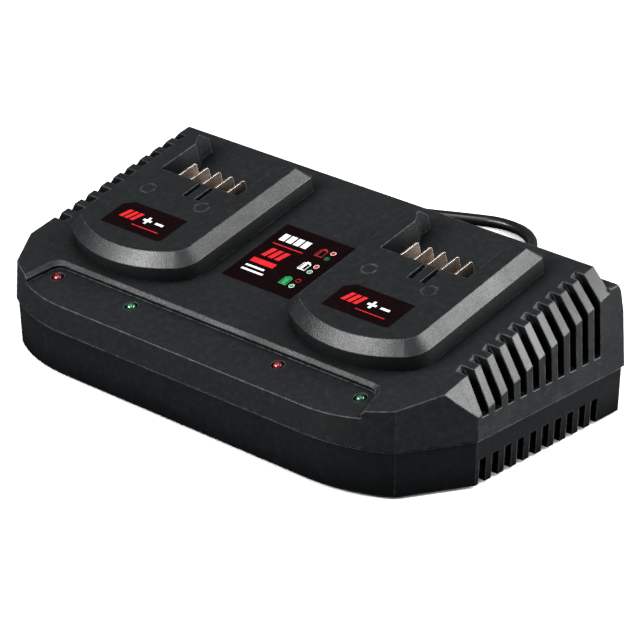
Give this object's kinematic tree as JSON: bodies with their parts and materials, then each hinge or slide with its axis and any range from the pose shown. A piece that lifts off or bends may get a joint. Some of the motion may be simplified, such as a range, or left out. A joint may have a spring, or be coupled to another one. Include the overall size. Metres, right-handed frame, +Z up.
{
  "type": "power tool battery charger",
  "caption": "Low wedge-shaped desktop charger with two slide-on battery bays, blade contacts, status lights, side vents and a coiled mains cord.",
  "frame": {"origin": "on the table under the centre of the charger's own box, without its cord", "axes": "+X across the charger to the right, +Y to its rear, +Z up"},
  "size_m": [0.29, 0.2923, 0.0857],
  "materials": {
    "housing_plastic": "fine moulded texture, charcoal black",
    "bay_plastic": "fine moulded texture, charcoal black, rubbed bevel",
    "carrier_plastic": "plain black moulding",
    "label_film": "printed near-black film",
    "plate_film": "bare black film",
    "contact_metal": "nickel plated, warm tone",
    "red_lens": "clear red moulding",
    "green_lens": "clear green moulding",
    "circuit_board": "green lacquer",
    "ferrite": "fired grey",
    "winding_tape": "yellow tape over copper",
    "sink_aluminium": "extruded",
    "package_plastic": "moulded package",
    "capacitor_sleeve": "shrunk sleeve",
    "fuse_ceramic": "glazed white tube",
    "terminal_plastic": "green moulding",
    "socket_plastic": "natural nylon",
    "screw_steel": "zinc plated",
    "foot_rubber": "matt",
    "cord_rubber": "glossy black sheath",
    "lead_sheath": "soft sheath",
    "plug_plastic": "moulded black",
    "pin_brass": "nickel plated",
    "tie_plastic": "soft black strap"
  },
  "bodies": {
    "root": {"bay_screws": "screw_steel", "board_screws": "screw_steel", "bridge_rectifier": "package_plastic", "bulk_capacitors": "capacitor_sleeve", "centre_label": "label_film", "clamp_screws": "screw_steel", "coil_tie": "tie_plastic", "cord_clamp": "package_plastic", "housing_screws": "screw_steel", "left_battery_bay": "bay_plastic", "left_bay_label": "label_film", "left_contact_blades": "contact_metal", "left_contact_carrier": "carrier_plastic", "left_heat_sink": "sink_aluminium", "left_output_lead": "lead_sheath", "left_transformer_core": "ferrite", "left_transformer_winding": "winding_tape", "lower_housing": "housing_plastic", "main_circuit_board": "circuit_board", "mains_choke": "ferrite", "mains_cord_coil": "cord_rubber", "mains_cord_inside": "cord_rubber", "mains_cord_stretch": "cord_rubber", "mains_cord_tail": "cord_rubber", "mains_fuse": "fuse_ceramic", "mains_terminal": "terminal_plastic", "output_capacitors": "capacitor_sleeve", "output_sockets": "socket_plastic", "plug_body": "plug_plastic", "plug_pins": "pin_brass", "power_transistors": "package_plastic", "rating_plate": "plate_film", "right_battery_bay": "bay_plastic", "right_bay_label": "label_film", "right_contact_blades": "contact_metal", "right_contact_carrier": "carrier_plastic", "right_heat_sink": "sink_aluminium", "right_output_lead": "lead_sheath", "right_transformer_core": "ferrite", "right_transformer_winding": "winding_tape", "rubber_feet": "foot_rubber", "status_light_board": "circuit_board", "status_light_inner_left": "green_lens", "status_light_inner_right": "red_lens", "status_light_outer_left": "red_lens", "status_light_outer_right": "green_lens", "strain_relief_boot": "cord_rubber", "upper_housing": "housing_plastic"}
  },
  "joints": []
}
